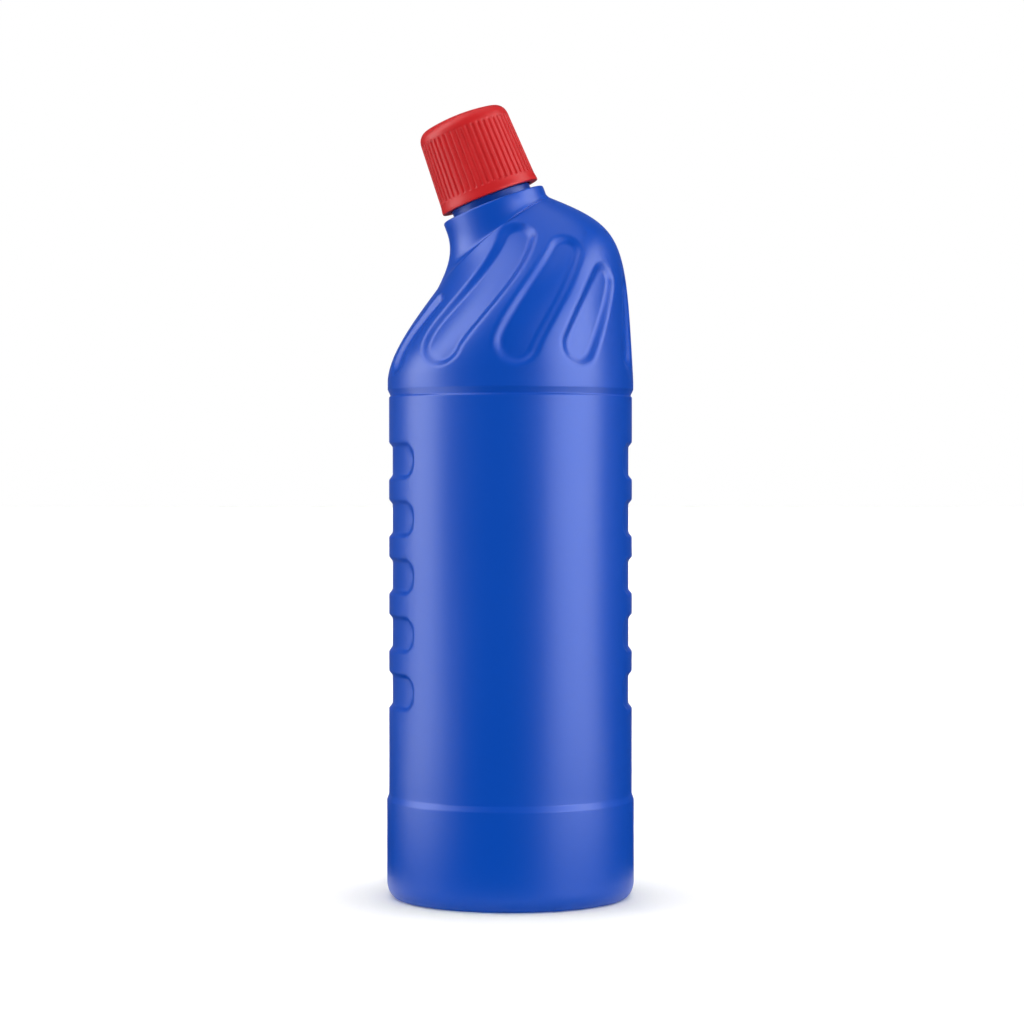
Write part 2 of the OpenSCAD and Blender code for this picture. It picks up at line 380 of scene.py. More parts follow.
bottle = {
    "columns": 288,
    "innerColumns": 72,
    "bodyRows": 124,
    "rowGap": 0.5,  # left between two sections of the skin
    "bodyRadius": 40.5,
    "bodyHeight": 172,
    "wall": 1.2,
    "wallSpare": 0.1,
    "innerCorner": 2,
    "bandRadius": 41.2,
    "bandHeight": 33.4,
    "bandSlope": 1.9,
    "bandRound": 1.7,
    "heelHeight": 5.5,
    "heelWidth": 3.4,
    "heelRows": 14,
    "pushUpRadius": 28,
    "pushUpHeight": 4,
    "pushUpRows": 13,
    "pushUpEdge": 0.6,
    "pushUpFoot": ((0.2, 0.03), (1, 0)),  # beyond its radius, and height
    "pinchLength": 24,
    "pinchHeight": 0.35,
    "pinchWidth": 0.45,
    "pinchRunOut": 2,
    "creaseHeight": 167.6,
    "creaseWidth": 2.6,
    "creaseDepth": 0.5,
    "creaseStep": 0.6,
    "creaseRound": 0.4,
    "lipRadius": 40.95,
    "lipRound": 1.0,
}
grips = {
    "count": 5,
    "pitch": 19,
    "middle": 107.2,
    "height": 10.9,
    "depth": 1.2,
    "slope": 1.5,
    "neckSide": 36,
    "backSide": 25.5,
    # how widely and how much the skin's columns and rows crowd at the recesses' edges
    "columnCrowd": (8, 1.2),
    "rowCrowd": (1.1, 5),
}
petals = {
    "slope": 2.4,
    "depth": 1.6,
    # angle and share of the dome at the lower end, then at the upper end, the bend between, and both widths
    "spines": [
        (19.5, 0.235, 38.5, 0.745, 2, 10.5, 8),
        (53.1, 0.282, 102.1, 0.873, 1.4, 17.4, 12.9),
        (91.1, 0.15, 122.8, 0.615, 1.16, 15.3, 11.9),
        (122.7, 0.102, 141.9, 0.344, 1, 14.4, 10.8),
        (161, 0.075, 168, 0.28, 1, 12, 9),
    ],
    "spineSteps": 21,
}
shoulder = {
    "footDepth": 18.3,
    "footRise": 2.2,
    "footLeft": (-3.6, -27.6),
    "footRight": (11.7, 18.4),
    # handles at the lower and upper ends of the dome's lines
    "domeLeft": ((0.5, 7.9), (-9.6, -12.6)),
    "domeRight": ((-2.7, 47.6), (25.5, -10.1)),
    "domeDepth": (1, 12.7),
    # and of the neck's lines, where the upper one runs along the neck
    "neckLeft": ((3.6, 7.1), 7),
    "neckRight": ((-0.6, 0.5), 0.6),
    "neckDepth": (-0.7, -0.1),
    "neckRise": 0.7,  # share of footRise
    # number of rows, where they crowd, how widely and how much
    "domeRows": (90, [0.12, 1], 0.1, 1.2),
    "neckRows": (22, [0], 0.25, 1.5),
    "innerDomeRows": 16,
    "innerNeckRows": 5,
    "insetShare": 0.12,
    "creaseReach": 7,
    "creaseRounds": 5,
    "neckRound": 4,
    "neckRoundFrom": 0.4,
}

gripEnds = [grips["neckSide"], 360 - grips["neckSide"], 180 - grips["backSide"], 180 + grips["backSide"]]
columnTurns = spaced(0, 360, bottle["columns"] + 1, gripEnds, *grips["columnCrowd"])[:-1]
columnAngles = np.radians(columnTurns)
innerAngles = columnAngles[::bottle["columns"] // bottle["innerColumns"]]


def gripDepth(angles, height):
    # how deep the recesses are at these angles of a ring
    row = (height - grips["middle"]) / grips["pitch"] + (grips["count"] - 1) / 2
    nearest = min(max(round(row), 0), grips["count"] - 1)
    up = height - grips["middle"] - (nearest - (grips["count"] - 1) / 2) * grips["pitch"]
    depth = np.zeros(len(angles))
    for centre, half in ((0, grips["neckSide"]), (180, grips["backSide"])):
        turn = (np.degrees(angles) - centre + 180) % 360 - 180
        along = np.radians(np.abs(turn)) * bottle["bodyRadius"]
        reach = math.radians(half) * bottle["bodyRadius"] - grips["height"] / 2
        distance = np.hypot(np.maximum(along - reach, 0), up)
        share = (grips["height"] / 2 - distance) / grips["slope"] + 0.5
        depth = np.maximum(depth, grips["depth"] * bevel(share))
    return depth


def pinchRidge(ring):
    # the welded line across the base, where the mould closed on the tube
    inside = ease((bottle["pinchLength"] - np.abs(ring[:, 0])) / bottle["pinchRunOut"])
    return bottle["pinchHeight"] * inside * np.exp(-(ring[:, 1] / bottle["pinchWidth"]) ** 2)


def bodyRings():
    b = bottle
    base = b["bandRadius"] - b["heelWidth"]
    sphere = (b["pushUpRadius"] ** 2 + b["pushUpHeight"] ** 2) / (2 * b["pushUpHeight"])
    rings = [np.array([[0.0, 0.0, b["pushUpHeight"]]])]
    for radius in np.linspace(0, b["pushUpRadius"] - b["pushUpEdge"], b["pushUpRows"])[1:]:
        height = b["pushUpHeight"] - sphere + math.sqrt(sphere ** 2 - radius ** 2)
        ring = turned([(radius, height)], columnAngles)[0]
        ring[:, 2] = np.maximum(ring[:, 2] - pinchRidge(ring), 0)
        rings.append(ring)
    foot = [(b["pushUpRadius"] + out, height) for out, height in b["pushUpFoot"]] + [(base, 0)]
    heel = arc((0, 1), 1, -90, 0, b["heelRows"])[1:] * [b["heelWidth"], b["heelHeight"]] + [base, 0]
    slopeLow = b["bandHeight"] - b["bandSlope"] / 2
    slopeHigh = b["bandHeight"] + b["bandSlope"] / 2
    bandFoot = b["heelHeight"] + 1
    bandEnd = slopeHigh + 3
    band = roundedLine([
        (b["bandRadius"], bandFoot, 0),
        (b["bandRadius"], slopeLow, b["bandRound"]),
        (b["bodyRadius"], slopeHigh, b["bandRound"]),
        (b["bodyRadius"], bandEnd, 0),
    ], steps=6)
    rings += turned(foot + heel.tolist() + band.tolist(), columnAngles)
    creaseLow = b["creaseHeight"] - b["creaseWidth"] / 2
    creaseHigh = b["creaseHeight"] + b["creaseWidth"] / 2
    rows = [grips["middle"] + (i - (grips["count"] - 1) / 2) * grips["pitch"] for i in range(grips["count"])]
    edges = [row + side * grips["height"] / 2 for row in rows for side in (-1, 1)]
    lowest = slopeHigh + 4
    highest = creaseLow - 1
    for height in spaced(lowest, highest, b["bodyRows"], edges, *grips["rowCrowd"]):
        ring = turned([(b["bodyRadius"], height)], columnAngles)[0]
        shrink = 1 - gripDepth(columnAngles, height) / b["bodyRadius"]
        ring[:, :2] *= shrink[:, None]
        rings.append(ring)
    deep = b["bodyRadius"] - b["creaseDepth"]
    crease = roundedLine([
        (b["bodyRadius"], creaseLow - b["creaseStep"], 0),
        (b["bodyRadius"], creaseLow, b["creaseRound"]),
        (deep, creaseLow + b["creaseStep"], b["creaseRound"]),
        (b["lipRadius"], creaseHigh, b["lipRound"]),
        (b["lipRadius"], b["bodyHeight"] - b["rowGap"], 0),
    ], steps=4)
    rings += turned(crease, columnAngles)
    return rings


footLeft = neckPlane(*shoulder["footLeft"])
footRight = neckPlane(*shoulder["footRight"])
footDepth = shoulder["footDepth"]
footRise = shoulder["footRise"]
footUp = np.array([footLeft[1] - footRight[1], footRight[0] - footLeft[0]])
footUp = footUp / np.linalg.norm(footUp)
tubeTop = neck["ledgeHeight"] - neck["collarHeight"]
tubeRadius = neck["ledgeRadius"]
tubeLeft = neckPlane(tubeTop, -tubeRadius)
tubeRight = neckPlane(tubeTop, tubeRadius)
tubeLean = np.array([math.sin(tilt), -math.cos(tilt)])
lip = bottle["lipRadius"]
lipLeft = np.array([-lip, bottle["bodyHeight"]])
lipRight = np.array([lip, bottle["bodyHeight"]])


def handled(low, high, handles):
    # a curve between two places with a handle at each end
    return [low, low + np.array(handles[0]), high + np.array(handles[1]), high]


def alongNeck(handles):
    return handles[0], handles[1] * tubeLean


dome = (
    handled(lipLeft, footLeft, shoulder["domeLeft"]),
    handled(lipRight, footRight, shoulder["domeRight"]),
    handled(lip, footDepth, shoulder["domeDepth"]),
    [0, 0, 0, footRise],
)
tube = (
    handled(footLeft, tubeLeft, alongNeck(shoulder["neckLeft"])),
    handled(footRight, tubeRight, alongNeck(shoulder["neckRight"])),
    handled(footDepth, tubeRadius, shoulder["neckDepth"]),
    [footRise, shoulder["neckRise"] * footRise, 0, 0],
)


def loft(form, shares, angles):
    # rings between a left and a right line in the XZ plane, as deep as the third line says
    # and raised in front and behind by the fourth
    left, right, depth, rise = (bezier(line, shares) for line in form)
    middle = (left + right)[:, None] / 2
    half = (right - left)[:, None] / 2
    cosine = np.cos(angles)[None, :]
    bulge = rise[:, None] * np.sin(angles)[None, :] ** 2
    x = middle[..., 0] - half[..., 0] * cosine + bulge * footUp[0]
    z = middle[..., 1] - half[..., 1] * cosine + bulge * footUp[1]
    y = -depth[:, None] * np.sin(angles)[None, :]
    return np.stack([x, y, z], 2)


def loftNormals(form, shares, angles):
    smallShare = 0.005
    smallTurn = 0.01
    around = loft(form, shares, angles + smallTurn) - loft(form, shares, angles - smallTurn)
    up = loft(form, shares + smallShare, angles) - loft(form, shares - smallShare, angles)
    normals = np.cross(around, up)
    return normals / np.linalg.norm(normals, axis=2, keepdims=True)


def neckTube(shares, angles):
    # the neck flares towards its foot on the left, and stays round in front until near the crease
    points = loft(tube, shares, angles)
    left = bezier(tube[0], shares)
    down = ((left - tubeLeft) @ tubeLean)[:, None] * tubeLean[None, :]
    flare = left - tubeLeft - down
    weight = (1 + np.cos(angles))[None, :] / 2
    power = 1 + shoulder["neckRound"] * ease(shares / shoulder["neckRoundFrom"])[:, None]
    pulled = (weight - weight ** power)[..., None] * flare[:, None, :]
    points[..., 0] -= pulled[..., 0]
    points[..., 2] -= pulled[..., 1]
    return points


def petalDepth(points):
    # how deep the oval recesses are at points of the dome, the same in front and behind
    steps = np.linspace(0, 1, petals["spineSteps"])
    mirrored = points * [1, 0, 1] - np.abs(points) * [0, 1, 0]
    inside = np.full(points.shape[:2], -np.inf)
    for lowAngle, lowShare, highAngle, highShare, bend, lowWidth, highWidth in petals["spines"]:
        shares = lowShare + (highShare - lowShare) * steps
        angles = np.radians(lowAngle + (highAngle - lowAngle) * steps ** bend)
        spine = [loft(dome, np.array([s]), np.array([a]))[0, 0] for s, a in zip(shares, angles)]
        for i, (first, second) in enumerate(zip(spine, spine[1:])):
            line = second - first
            share = np.clip((mirrored - first) @ line / (line @ line), 0, 1)
            away = np.linalg.norm(mirrored - first - share[..., None] * line, axis=2)
            along = (i + share) / (len(spine) - 1)
            width = lowWidth + (highWidth - lowWidth) * along ** 2
            inside = np.maximum(inside, width / 2 - away)
    return petals["depth"] * bevel(inside / petals["slope"])


def shoulderRings():
    domeShares = spaced(0, 1, *shoulder["domeRows"])[1:]
    points = loft(dome, domeShares, columnAngles)
    normals = loftNormals(dome, domeShares, columnAngles)
    domePoints = points - normals * petalDepth(points)[..., None]
    neckShares = spaced(0, 1, *shoulder["neckRows"])[1:]
    rings = np.concatenate([domePoints, neckTube(neckShares, columnAngles)])
    # the crease between the dome and the neck is a soft valley
    crease = len(domePoints) - 1
    low = crease - shoulder["creaseReach"]
    high = crease + shoulder["creaseReach"] + 1
    for _ in range(shoulder["creaseRounds"]):
        rings[low:high] = (rings[low - 1:high - 1] + 2 * rings[low:high] + rings[low + 1:high + 1]) / 4
    return list(rings)


def finishRings():
    n = neck
    ledge = n["ledgeHeight"]
    rim = ledge + n["finishHeight"]
    bead = n["beadRadius"] - n["finishRadius"]
    profile = roundedLine([
        (n["ledgeRadius"], tubeTop + bottle["rowGap"], 0),
        (n["ledgeRadius"], ledge, n["ledgeRound"]),
        (n["beadRadius"], ledge, n["beadRound"]),
        (n["beadRadius"], ledge + n["beadHeight"] - bead, n["beadRound"]),
        (n["finishRadius"], ledge + n["beadHeight"], n["rimRound"]),
        (n["finishRadius"], rim, n["rimRound"]),
        (n["boreRadius"], rim, n["boreRound"]),
        (n["boreRadius"], ledge, 0),
    ])
    return [onNeck(ring) for ring in turned(profile, columnAngles)]


def innerRings():
    # the inside of the wall, kept clear of the recesses
    b = bottle
    n = neck
    wall = b["wall"]
    deep = wall + max(grips["depth"], petals["depth"]) + b["wallSpare"]
    mouth = turned([(n["boreRadius"], n["ledgeHeight"] - wall / 2)], innerAngles)
    wide = turned([(n["ledgeRadius"] - wall, tubeTop)], innerAngles)
    tubeShares = np.linspace(1, 0, shoulder["innerNeckRows"])[1:-1]
    tubeInside = neckTube(tubeShares, innerAngles) - wall * loftNormals(tube, tubeShares, innerAngles)
    domeShares = np.linspace(1, 0, shoulder["innerDomeRows"])[1:-1]
    inset = wall + (deep - wall) * ease((1 - domeShares) / shoulder["insetShare"])
    domeNormals = loftNormals(dome, domeShares, innerAngles)
    domeInside = loft(dome, domeShares, innerAngles) - inset[:, None, None] * domeNormals
    radius = b["bodyRadius"] - deep
    corner = b["heelHeight"]
    low = b["pushUpHeight"] + wall
    walls = turned([
        (radius, b["bodyHeight"]),
        (radius, low + corner),
        (radius - b["innerCorner"], low + b["innerCorner"]),
        (radius - corner, low),
        (0, low),
    ], innerAngles)
    return [onNeck(ring) for ring in mouth + wide] + list(tubeInside) + list(domeInside) + walls


bottleSkin = skinMesh(
    "bottle_skin", bodyRings() + shoulderRings() + finishRings() + innerRings(), bluePlasticMaterial
)
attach(bottleSkin, "bottle")
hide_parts("bottle")
print("bottle made:", len(bottleSkin.data.vertices), "points")


# Geometry Nodes

def startTree(name, inputs):
    tree = bpy.data.node_groups.new(name, "GeometryNodeTree")
    tree.is_modifier = True
    tree.interface.new_socket("Geometry", in_out="INPUT", socket_type="NodeSocketGeometry")
    tree.interface.new_socket("Geometry", in_out="OUTPUT", socket_type="NodeSocketGeometry")
    for label, kind in inputs.items():
        tree.interface.new_socket(label, in_out="INPUT", socket_type=kind)
    group = tree.nodes.new("NodeGroupInput")
    return tree, {socket.name: Wire(tree, socket) for socket in group.outputs if socket.name}


def endTree(tree, geometry, material):
    painted = Wire(tree).make("GeometryNodeSetMaterial", None, {"Geometry": geometry, "Material": material})
    group = tree.nodes.new("NodeGroupOutput")
    tree.links.new(painted.socket, group.inputs[0])


def runTree(name, tree, values, material, seed=None):
    # the tree's result as a plain mesh at the origin
    mesh = seed or bpy.data.meshes.new(name + "_seed")
    carrier = bpy.data.objects.new(name + "_carrier", mesh)
    bpy.context.scene.collection.objects.link(carrier)
    modifier = carrier.modifiers.new(name, "NODES")
    modifier.node_group = tree
    for item in tree.interface.items_tree:
        if item.in_out == "INPUT" and item.name in values:
            modifier[item.identifier] = values[item.name]
    graph = bpy.context.evaluated_depsgraph_get()
    made = bpy.data.meshes.new_from_object(carrier.evaluated_get(graph))
    carrier.modifiers.clear()
    bpy.data.objects.remove(carrier)
    made.name = name
    return finishMesh(name, made, material)


neckTurn = (0.0, -tilt, 0.0)


# Thread of the neck and of the cap

thread = {
    "lead": 4.2333,
    "turns": 2.1,
    "neckFoot": 14.6,
    "neckRadius": 12.45,
    "neckReach": 1.05,
    "neckHalfHeight": 1.1,
    "capRadius": 13.85,
    "capReach": 0.95,
    "capHalfHeight": 0.8,
    "runOut": 14.0,
    "thinEnd": 0.05,
    "stepsPerTurn": 72,
    "profileSteps": 14,
}


def threadTree(name, material):
    labels = ("Turns", "Radius", "Lead", "Reach", "Half height", "Foot", "Run out")
    kinds = {label: "NodeSocketFloat" for label in labels}
    tree, inputs = startTree(name, {**kinds, "Root": "NodeSocketVector", "Turn": "NodeSocketRotation"})
    wire = Wire(tree)
    # reversed, because the node's own spiral is left-handed
    spiral = wire.make("GeometryNodeCurveSpiral", None, {
        "Resolution": thread["stepsPerTurn"], "Rotations": inputs["Turns"], "Start Radius": inputs["Radius"],
        "End Radius": inputs["Radius"], "Height": inputs["Turns"] * inputs["Lead"], "Reverse": True,
    })
    upright = wire.make("GeometryNodeSetCurveNormal", {"mode": "Z_UP"}, {"Curve": spiral})
    factor = wire.make("GeometryNodeSplineParameter", out="Factor")
    growing = factor * inputs["Run out"]
    fading = (1 - factor) * inputs["Run out"]
    size = growing.upTo(fading).upTo(1.0).atLeast(thread["thinEnd"])
    circle = wire.make("GeometryNodeCurvePrimitiveCircle", None, {
        "Resolution": thread["profileSteps"], "Radius": 1.0,
    })
    shape = wire.make("ShaderNodeCombineXYZ", None, {
        "X": inputs["Half height"], "Y": inputs["Reach"], "Z": 1.0,
    })
    profile = wire.make("GeometryNodeTransform", None, {"Geometry": circle, "Scale": shape})
    ridge = wire.make("GeometryNodeCurveToMesh", None, {
        "Curve": upright, "Profile Curve": profile, "Scale": size, "Fill Caps": True,
    })
    lift = wire.make("ShaderNodeCombineXYZ", None, {"Z": inputs["Foot"]})
    lifted = wire.make("GeometryNodeTransform", None, {"Geometry": ridge, "Translation": lift})
    leaning = wire.make("GeometryNodeTransform", None, {
        "Geometry": lifted, "Translation": inputs["Root"], "Rotation": inputs["Turn"],
    })
    endTree(tree, wire.make("GeometryNodeRealizeInstances", None, {"Geometry": leaning}), material)
    return tree


def threadPiece(name, material, radius, reach, halfHeight, foot):
    values = {
        "Turns": thread["turns"],
        "Radius": radius * unit,
        "Lead": thread["lead"] * unit,
        "Reach": reach * unit,
        "Half height": halfHeight * unit,
        "Foot": foot * unit,
        "Run out": thread["runOut"],
        "Root": (neckRoot * unit).tolist(),
        "Turn": neckTurn,
    }
    return runTree(name, threadTree(name, material), values, material)


ridgeFoot = neck["ledgeHeight"] + thread["neckFoot"]
neckThread = threadPiece(
    "neck_thread", bluePlasticMaterial,
    thread["neckRadius"], thread["neckReach"], thread["neckHalfHeight"], ridgeFoot,
)
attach(neckThread, "bottle")
capThread = threadPiece(
    "cap_thread", redPlasticMaterial,
    thread["capRadius"], thread["capReach"], thread["capHalfHeight"], ridgeFoot - thread["lead"] / 2,
)
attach(capThread, "cap")
print("threads made")


# Cap

cap = {
    "foot": 18.7,
    "radius": 16.85,
    "footRound": 0.35,
    "flare": 0.3,
    "flareHeight": 2.7,
    "flareRound": 0.8,
    "flareEnd": 0.3,
    "skirtFoot": 0.5,
    "skirtRows": 30,
    "rowCrowd": 5,
    "taper": 2.9,
    "cornerRadius": 4,
    "cornerRows": 18,
    "crownRadius": 60,
    "crownRows": 12,
    "height": 29.35,
    "insideRadius": 14.05,
    "insideHeight": 26.3,
    "insideEdge": 0.4,
    "insideRound": 0.25,
    "ceilingRound": 0.3,
    "draft": 0.45,
    "grooves": 48,
    "grooveRadius": 0.55,
    "grooveDepth": 0.45,
    "grooveFoot": 3.2,
    "grooveTop": 24.2,
    "grooveEnd": 0.6,
    "grooveShares": (0, 0.35, 0.65, 0.88, 1.03),
    "weldDistance": 0.004,
}
capTaper = math.radians(cap["taper"])
capLean = math.tan(capTaper)
capWall = cap["radius"] - cap["flare"]


def capOutside():
    c = cap
    corner = c["cornerRadius"]
    cornerX = capWall - corner - (c["height"] - corner - c["flareHeight"]) * capLean
    crownZ = c["height"] - c["crownRadius"]
    cornerZ = crownZ + math.sqrt((c["crownRadius"] - corner) ** 2 - cornerX ** 2)
    lower = roundedLine([
        (c["insideRadius"] + c["insideEdge"], 0, 0),
        (c["radius"], 0, c["footRound"]),
        (c["radius"], c["flareHeight"] / 3, c["flareRound"]),
        (capWall, c["flareHeight"], c["flareRound"]),
        (capWall - c["flareEnd"] * capLean, c["flareHeight"] + c["flareEnd"], 0),
    ])
    skirtFoot = c["flareHeight"] + c["skirtFoot"]
    skirtTop = cornerZ + corner * math.sin(capTaper)
    grooveEnds = [c["grooveFoot"], c["grooveTop"] - c["grooveEnd"]]
    heights = spaced(skirtFoot, skirtTop, c["skirtRows"], grooveEnds, c["grooveEnd"], c["rowCrowd"])
    skirt = [(capWall - (z - c["flareHeight"]) * capLean, z) for z in heights]
    crownAngle = math.degrees(math.atan2(cornerZ - crownZ, cornerX))
    edge = arc((cornerX, cornerZ), corner, c["taper"], crownAngle, c["cornerRows"])[1:]
    crown = arc((0, crownZ), c["crownRadius"], crownAngle, 90, c["crownRows"])[1:]
    return np.concatenate([lower, skirt, edge, crown])


def capInside():
    c = cap
    return roundedLine([
        (0, c["insideHeight"], 0),
        (c["insideRadius"] - c["draft"], c["insideHeight"], c["ceilingRound"]),
        (c["insideRadius"], 0, c["insideRound"]),
        (c["insideRadius"] + c["insideEdge"], 0, 0),
    ], steps=4)


def grooved(radius, height, angle):
    # the groove is a round channel that follows the skirt's taper
    c = cap
    wall = capWall - (height - c["flareHeight"]) * capLean
    across = np.abs(radius * math.sin(angle))
    if not c["grooveFoot"] < height < c["grooveTop"] or across >= c["grooveRadius"]:
        return radius
    channel = wall + c["grooveRadius"] - c["grooveDepth"] - math.sqrt(c["grooveRadius"] ** 2 - across ** 2)
    lowEnd = ease((height - c["grooveFoot"]) / c["grooveEnd"])
    highEnd = ease((c["grooveTop"] - height) / (2 * c["grooveEnd"]))
    return radius - float(lowEnd * highEnd) * max(radius - channel, 0)


def sectorAngles():
    # half a groove and half the land beside it, to both sides
    half = math.pi / cap["grooves"]
    angles = [share * cap["grooveRadius"] / cap["radius"] for share in cap["grooveShares"]]
    angles += [(angles[-1] + half) / 2, half]
    return [-a for a in angles[:0:-1]] + angles


def sectorMesh():
    # one groove's share of the cap, open at its two sides
    angles = sectorAngles()
    outside = capOutside()
    inside = capInside()
    rows = [[(r * math.cos(a), r * math.sin(a), z) for a in angles] for r, z in inside[1:]]
    for radius, height in outside[1:-1]:
        reaches = [grooved(radius, height, a) for a in angles]
        rows.append([(r * math.cos(a), r * math.sin(a), height) for r, a in zip(reaches, angles)])
    count = len(angles)
    points = [point for row in rows for point in row]
    faces = gridFaces(len(rows), count)
    top = len(points)
    ceiling = top + 1
    last = top - count
    points += [(0, 0, outside[-1][1]), (0, 0, inside[0][1])]
    for j in range(count - 1):
        faces.append((last + j, last + j + 1, top))
        faces.append((j + 1, j, ceiling))
    mesh = bpy.data.meshes.new("cap_sector")
    mesh.from_pydata((np.array(points) * unit).tolist(), [], faces)
    return mesh


def capTree(material):
    tree, inputs = startTree("cap_grooves", {
        "Grooves": "NodeSocketInt", "Root": "NodeSocketVector", "Turn": "NodeSocketRotation",
    })
    wire = Wire(tree)
    spots = wire.make("GeometryNodePoints", None, {"Count": inputs["Grooves"]})
    index = wire.make("GeometryNodeInputIndex")
    around = wire.make("ShaderNodeCombineXYZ", None, {"Z": index * (2 * math.pi) / inputs["Grooves"]})
    sectors = wire.make("GeometryNodeInstanceOnPoints", None, {
        "Points": spots, "Instance": inputs["Geometry"], "Rotation": around,
    })
    leaning = wire.make("GeometryNodeTransform", None, {
        "Geometry": sectors, "Translation": inputs["Root"], "Rotation": inputs["Turn"],
    })
    real = wire.make("GeometryNodeRealizeInstances", None, {"Geometry": leaning})
    joined = wire.make("GeometryNodeMergeByDistance", None, {
        "Geometry": real, "Distance": cap["weldDistance"] * unit,
    })
    endTree(tree, joined, material)
    return tree


capFoot = onNeck([0, 0, cap["foot"]])
capShell = runTree(
    "cap_shell", capTree(redPlasticMaterial),
    {"Grooves": cap["grooves"], "Root": (capFoot * unit).tolist(), "Turn": neckTurn},
    redPlasticMaterial, sectorMesh(),
)
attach(capShell, "cap")
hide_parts("cap")
print("cap made:", len(capShell.data.vertices), "points")


# Sealing disc

disc = {
    "foot": 43.45,
    "radius": 13.3,
    "height": 1.5,
    "edge": 0.25,
    "printDepth": 0.12,
    "printSpare": 0.2,
    "printSlope": 0.3,
    "printRound": 0.3,
    "printEdge": 0.15,
    "columns": 120,
}


def discProfile():
    # the rim of the mouth has left its print in the foam
    d = disc
    rimIn = neck["boreRadius"] - d["printSpare"]
    rimOut = neck["finishRadius"] + d["printSpare"]
    return roundedLine([
        (0, 0, 0),
        (rimIn, 0, d["printRound"]),
        (rimIn + d["printSlope"], d["printDepth"], d["printRound"]),
        (rimOut - d["printSlope"], d["printDepth"], d["printRound"]),
        (rimOut, 0, d["printEdge"]),
        (d["radius"], 0, d["edge"]),
        (d["radius"], d["height"], d["edge"]),
        (0, d["height"], 0),
    ], steps=4)


discAngles = np.linspace(0, 2 * math.pi, disc["columns"], endpoint=False)
discRings = [onNeck(ring + [0, 0, disc["foot"]]) for ring in turned(discProfile(), discAngles)]
sealingDisc = skinMesh("sealing_disc", discRings, foamMaterial)
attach(sealingDisc, "liner")
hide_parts("cap_liner")
print("sealing disc made")


# Stage, with its sizes in metres

stage = {
    "floorRadius": 12.0,
    "floorHole": 0.001,
    "floorHeight": -0.0001,
    # the floor's warm colour cancels the blue light that the bottle throws on it
    "floorColour": (1, 0.985, 0.92),
    # floorLift is a painted glow that the camera sees on the floor, faded in from liftFrom to liftTo away
    # from the bottle's axis
    "floorLift": 0.13,
    "liftFrom": 0.044,
    "liftTo": 0.062,
    "flagInner": 0.07,
    "flagRadius": 2.0,
    "flagFoot": 0.001,
    "flagHeight": 3.6,
    "flagTurn": 150,
    "flagBlack": (0.004, 0.004, 0.004),
    "flagGrey": (0.13, 0.13, 0.13),
    "topFlag": (-75, 15),
    "topFlagInner": 0.3,
    "sheetColumns": 73,
    "boxAim": 0.14,
    "cardHeight": 0.003,
    "fillSpread": 120,
}
# direction from the bottle (degrees from the camera's side, degrees up), distance, width, height, and
# brightness beside a white of 1
boxes = {
    "left_low_box": (-92, 10, 1.2, 0.86, 0.6, 5.0),
    "left_high_box": (-77, 40, 1.2, 0.72, 0.7, 5.0),
    "left_top_box": (-80, 68, 1.2, 0.8, 0.45, 2.2),
    "right_low_box": (60, 10, 1.2, 1.2, 0.6, 6.2),
    "right_high_box": (84, 36, 1.2, 0.8, 0.5, 4.8),
}
# angle from the camera's side, distance, width, length and brightness of the sheets on the floor
cards = {
    "left_card": (-84, 0.65, 0.42, 0.8, 3.9),
    "right_card": (62, 0.65, 0.4, 0.8, 3.9),
}
# angle from the camera's side, height above the floor in degrees, and strength
fills = {
    "front_left_fill": (-45, 15, 1.86),
    "front_right_fill": (45, 15, 1.86),
    "back_right_fill": (135, 15, 1.86),
    "back_left_fill": (225, 15, 1.86),
    "top_fill": (0, 90, 0.6),
    "floor_fill": (0, -90, 0.7),
}


def stageMaterial(name, colour):
    material, shader, _ = startMaterial(name)
    shader.inputs["Base Color"].default_value = (*colour, 1)
    shader.inputs["Roughness"].default_value = 1.0
    shader.inputs["Specular IOR Level"].default_value = 0.0
    return material


def stageSheet(name, rings, material, start=0, end=360):
    # a sheet round the Z axis through (radius, height) rings; 0 degrees is the camera's side, 90 the right
    angles = np.radians(np.linspace(start, end, stage["sheetColumns"]))
    points = [(r * math.sin(a), -r * math.cos(a), z) for r, z in rings for a in angles]
    mesh = bpy.data.meshes.new(name)
    mesh.from_pydata(points, [], gridFaces(len(rings), len(angles)))
    piece = finishMesh(name, mesh, material)
    return piece


def stageFlag(name, rings, material, start, end):
    # a flag that only the gloss sees
    piece = stageSheet(name, rings, material, start, end)
    piece.visible_camera = False
    piece.visible_diffuse = False
    piece.visible_transmission = False
    piece.visible_shadow = False


def floorWhite():
    # a warm white, warmed against the blue light that the bottle throws on it, that keeps its shadow; for
    # the camera it is lifted a little by a painted glow that washes out the bottle's wide shadow, except
    # close to the bottle, where the contact shadow stays
    material = stageMaterial("floor_white", stage["floorColour"])
    tree = material.node_tree
    wire = Wire(tree)
    seen = wire.make("ShaderNodeLightPath", out="Is Camera Ray")
    shader = tree.nodes["Principled BSDF"]
    plugIn(tree, shader.inputs["Emission Color"], (1, 1, 1, 1))
    place = wire.make("ShaderNodeTexCoord", out="Object")
    away = wire.make("ShaderNodeVectorMath", {"operation": "LENGTH"}, {0: place}, "Value")
    cleared = ((away - stage["liftFrom"]) / (stage["liftTo"] - stage["liftFrom"])).clamped()
    # painted glow for the camera, none within liftFrom of the bottle's axis: painted light over the bottle's
    # wide shadow
    plugIn(tree, shader.inputs["Emission Strength"], stage["floorLift"] * seen * cleared)
    return material


floorRings = [(stage["floorHole"], stage["floorHeight"]), (stage["floorRadius"], stage["floorHeight"])]
floor = stageSheet("floor", floorRings, floorWhite())
floor.visible_diffuse = False
floor.visible_shadow = False
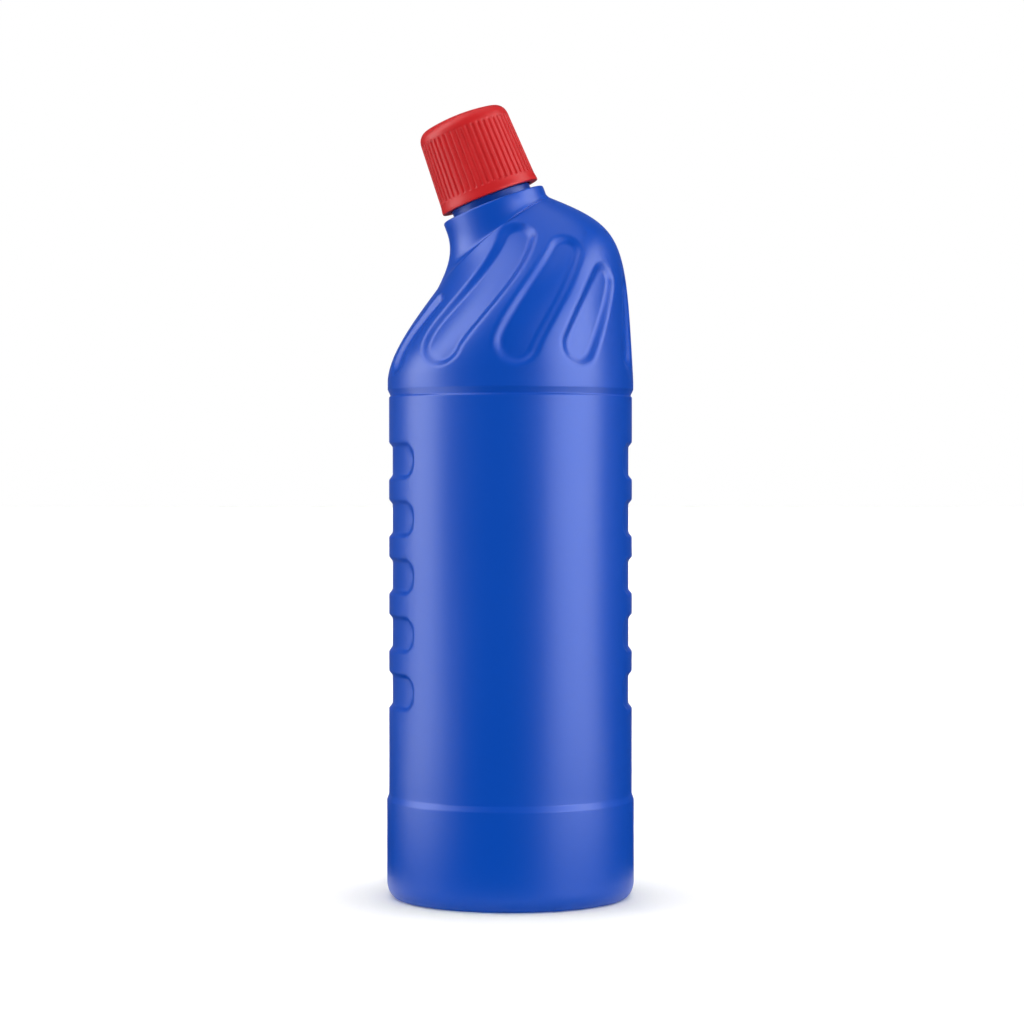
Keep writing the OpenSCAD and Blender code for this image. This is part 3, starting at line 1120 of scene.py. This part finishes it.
# black flags in front, at the sides and above, and a grey one behind, keep the white room out of the gloss
flagBlack = stageMaterial("flag_black", stage["flagBlack"])
flagGrey = stageMaterial("flag_grey", stage["flagGrey"])
flagTurn = stage["flagTurn"]
flagTop = (stage["flagRadius"], stage["flagHeight"])
flagRings = [(stage["flagInner"], stage["flagFoot"]), (stage["flagRadius"], stage["flagFoot"]), flagTop]
stageFlag("room_flag", flagRings, flagBlack, -flagTurn, flagTurn)
stageFlag("back_flag", flagRings, flagGrey, flagTurn, 360 - flagTurn)
topRings = [flagTop, (stage["topFlagInner"], stage["flagHeight"])]
stageFlag("top_flag", topRings, flagBlack, *stage["topFlag"])


def areaLamp(name, place, facing, width, height, level):
    # a sheet of light that only the gloss sees
    light = bpy.data.lights.new(name, "AREA")
    light.shape = "RECTANGLE"
    light.size = width
    light.size_y = height
    light.energy = level * math.pi * width * height
    lamp = bpy.data.objects.new(name, light)
    lamp.location = place
    lamp.rotation_euler = facing.to_track_quat("-Z", "Y").to_euler()
    lamp.visible_camera = False
    lamp.visible_diffuse = False
    bpy.context.scene.collection.objects.link(lamp)


def direction(angle, height):
    turn = math.radians(angle)
    up = math.radians(height)
    return Vector((math.cos(up) * math.sin(turn), -math.cos(up) * math.cos(turn), math.sin(up)))


def softBox(name, angle, height, distance, width, tall, level):
    towards = direction(angle, height)
    areaLamp(name, Vector((0, 0, stage["boxAim"])) + distance * towards, -towards, width, tall, level)


def floorCard(name, angle, distance, width, length, level):
    # the sheet's length points away from the bottle
    place = distance * direction(angle, 0) + Vector((0, 0, stage["cardHeight"]))
    areaLamp(name, place, Vector((0, 0, 1)), width, length, level)
    bpy.data.objects[name].rotation_euler = (math.pi, 0, math.radians(angle))


def fillLamp(name, angle, height, strength):
    # wide even light for the colours, without any gloss
    light = bpy.data.lights.new(name, "SUN")
    light.angle = math.radians(stage["fillSpread"])
    light.energy = strength
    light.cycles.use_multiple_importance_sampling = False
    lamp = bpy.data.objects.new(name, light)
    lamp.rotation_euler = (math.radians(90 - height), 0, math.radians(angle))
    lamp.visible_camera = False
    lamp.visible_glossy = False
    bpy.context.scene.collection.objects.link(lamp)


for name, values in boxes.items():
    softBox(name, *values)
for name, values in cards.items():
    floorCard(name, *values)
for name, values in fills.items():
    fillLamp(name, *values)
world = bpy.data.worlds.new("white_room")
world.use_nodes = True
wire = Wire(world.node_tree)
kinds = ("Camera", "Glossy", "Transmission")
rays = [wire.make("ShaderNodeLightPath", out=f"Is {kind} Ray") for kind in kinds]
background = world.node_tree.nodes["Background"]
background.inputs["Color"].default_value = (1, 1, 1, 1)
plugIn(world.node_tree, background.inputs["Strength"], rays[0].atLeast(rays[1]).atLeast(rays[2]))
world.cycles.sampling_method = "NONE"
bpy.context.scene.world = world
bpy.context.scene.view_settings.view_transform = "Standard"
print("stage made")


# Camera, with its sizes in metres

view = {
    "lens": 98.44,
    "sensorWidth": 36,
    "distance": 0.935,
    "azimuth": -2,
    "height": 0.140,
    "aim": (0.0005, 0, 0.1282),
}
camera = bpy.data.objects.new("camera", bpy.data.cameras.new("camera"))
camera.data.lens = view["lens"]
camera.data.sensor_width = view["sensorWidth"]
camera.location = view["distance"] * direction(view["azimuth"], 0)
camera.location.z = view["height"]
camera.rotation_euler = (Vector(view["aim"]) - camera.location).to_track_quat("-Z", "Y").to_euler()
bpy.context.scene.collection.objects.link(camera)
bpy.context.scene.camera = camera
print("camera set")
